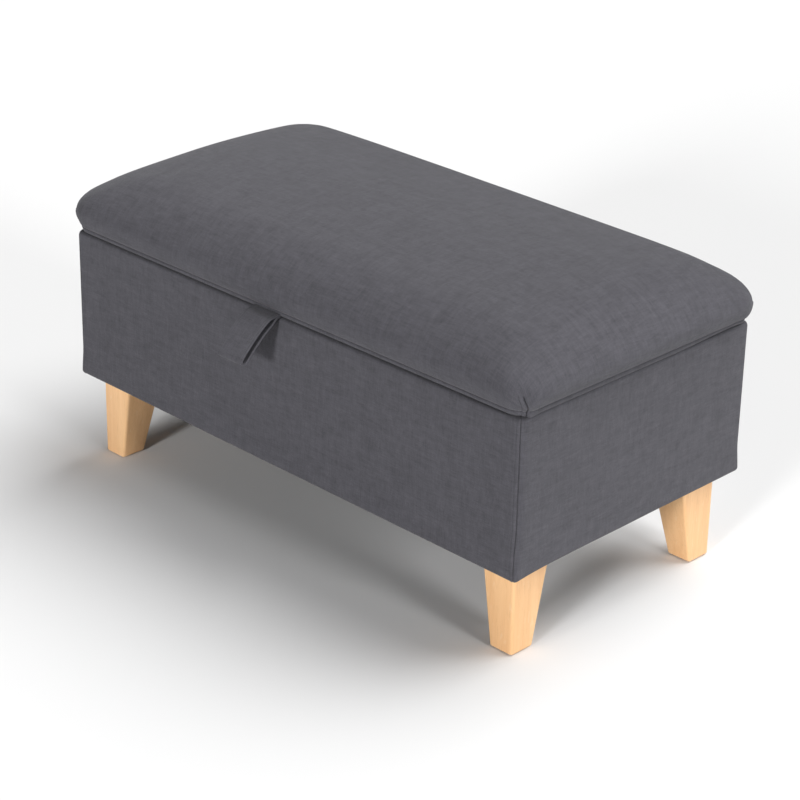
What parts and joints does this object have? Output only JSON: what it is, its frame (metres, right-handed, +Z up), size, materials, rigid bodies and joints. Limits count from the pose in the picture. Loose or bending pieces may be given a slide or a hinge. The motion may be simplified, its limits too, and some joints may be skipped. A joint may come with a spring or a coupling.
{
  "type": "storage bench",
  "caption": "Low upholstered storage bench on tapered wooden legs, with a domed padded seat that hinges up over the storage space and a fabric pull tab.",
  "frame": {"origin": "on the floor, at the middle of the outline of the closed bench and its pull tab, so 29.2 mm in front of the middle of the upholstered box", "axes": "+X along the bench to its right end seen from the front, +Y from the front with the pull tab to the hinges at the back, +Z up"},
  "size_m": [0.868, 0.5146, 0.4436],
  "materials": {
    "fabric": "matte",
    "lining": "matte",
    "foam": "matte",
    "leg_wood": "satin",
    "board": "matte",
    "steel": "satin",
    "bumper_rubber": "matte",
    "nylon": "matte"
  },
  "bodies": {
    "base": {"base_cover_front": "fabric", "base_cover_back": "fabric", "base_cover_left": "fabric", "base_cover_right": "fabric", "front_panel": "board", "back_panel": "board", "left_end_panel": "board", "right_end_panel": "board", "floor_board": "board", "storage_lining": "lining", "dust_cover": "lining", "corner_block_front_left": "board", "corner_block_front_right": "board", "corner_block_back_left": "board", "corner_block_back_right": "board", "leg_front_left": "leg_wood", "leg_front_right": "leg_wood", "leg_back_left": "leg_wood", "leg_back_right": "leg_wood", "leg_bolt_front_left": "steel", "leg_bolt_front_right": "steel", "leg_bolt_back_left": "steel", "leg_bolt_back_right": "steel", "leg_glide_front_left": "nylon", "leg_glide_front_right": "nylon", "leg_glide_back_left": "nylon", "leg_glide_back_right": "nylon", "lid_bumper_left": "bumper_rubber", "lid_bumper_right": "bumper_rubber", "hinge_base_leaf_left": "steel", "hinge_base_leaf_right": "steel", "hinge_pin_left": "steel", "hinge_pin_right": "steel", "hinge_base_screw_left_1": "steel", "hinge_base_screw_left_2": "steel", "hinge_base_screw_right_1": "steel", "hinge_base_screw_right_2": "steel", "stay_base_plate_left": "steel", "stay_base_plate_right": "steel"},
    "lid": {"lid_board": "board", "seat_foam": "foam", "seat_cover": "fabric", "lid_liner": "lining", "pull_tab_sewn_end": "fabric", "hinge_lid_leaf_left": "steel", "hinge_lid_leaf_right": "steel", "hinge_lid_screw_left_1": "steel", "hinge_lid_screw_left_2": "steel", "hinge_lid_screw_right_1": "steel", "hinge_lid_screw_right_2": "steel", "stay_lid_bracket_left": "steel", "stay_lid_bracket_right": "steel"},
    "left_stay_arm": {"stay_arm_left": "steel", "stay_elbow_rivet_left": "steel"},
    "right_stay_arm": {"stay_arm_right": "steel", "stay_elbow_rivet_right": "steel"},
    "left_stay_link": {"stay_link_left": "steel"},
    "right_stay_link": {"stay_link_right": "steel"},
    "tab": {"pull_tab": "fabric"}
  },
  "joints": [
    {"name": "lid_hinge", "type": "hinge", "parent": "base", "child": "lid", "pos_m": [0, 0.2542, 0.3431], "axis": [-1, 0, 0], "range_deg": [0, 95]},
    {"name": "left_stay_arm_pivot", "type": "hinge", "parent": "base", "child": "left_stay_arm", "pos_m": [-0.3956, 0.2162, 0.2731], "axis": [-1, 0, 0], "range_deg": [0, 95]},
    {"name": "right_stay_arm_pivot", "type": "hinge", "parent": "base", "child": "right_stay_arm", "pos_m": [0.3956, 0.2162, 0.2731], "axis": [-1, 0, 0], "range_deg": [0, 95]},
    {"name": "left_stay_link_pivot", "type": "hinge", "parent": "lid", "child": "left_stay_link", "pos_m": [-0.3926, 0.0532, 0.3291], "axis": [1, 0, 0], "range_deg": [0, 95]},
    {"name": "right_stay_link_pivot", "type": "hinge", "parent": "lid", "child": "right_stay_link", "pos_m": [0.3926, 0.0532, 0.3291], "axis": [1, 0, 0], "range_deg": [0, 95]},
    {"name": "pull_tab_bend", "type": "hinge", "parent": "lid", "child": "tab", "pos_m": [-0.024, -0.1929, 0.344], "axis": [-1, 0, 0], "range_deg": [0, 55]}
  ],
  "couplings": [
    {"joint": "left_stay_arm_pivot", "follows": "lid_hinge", "ratio": 1},
    {"joint": "right_stay_arm_pivot", "follows": "lid_hinge", "ratio": 1},
    {"joint": "left_stay_link_pivot", "follows": "lid_hinge", "ratio": 1},
    {"joint": "right_stay_link_pivot", "follows": "lid_hinge", "ratio": 1}
  ]
}
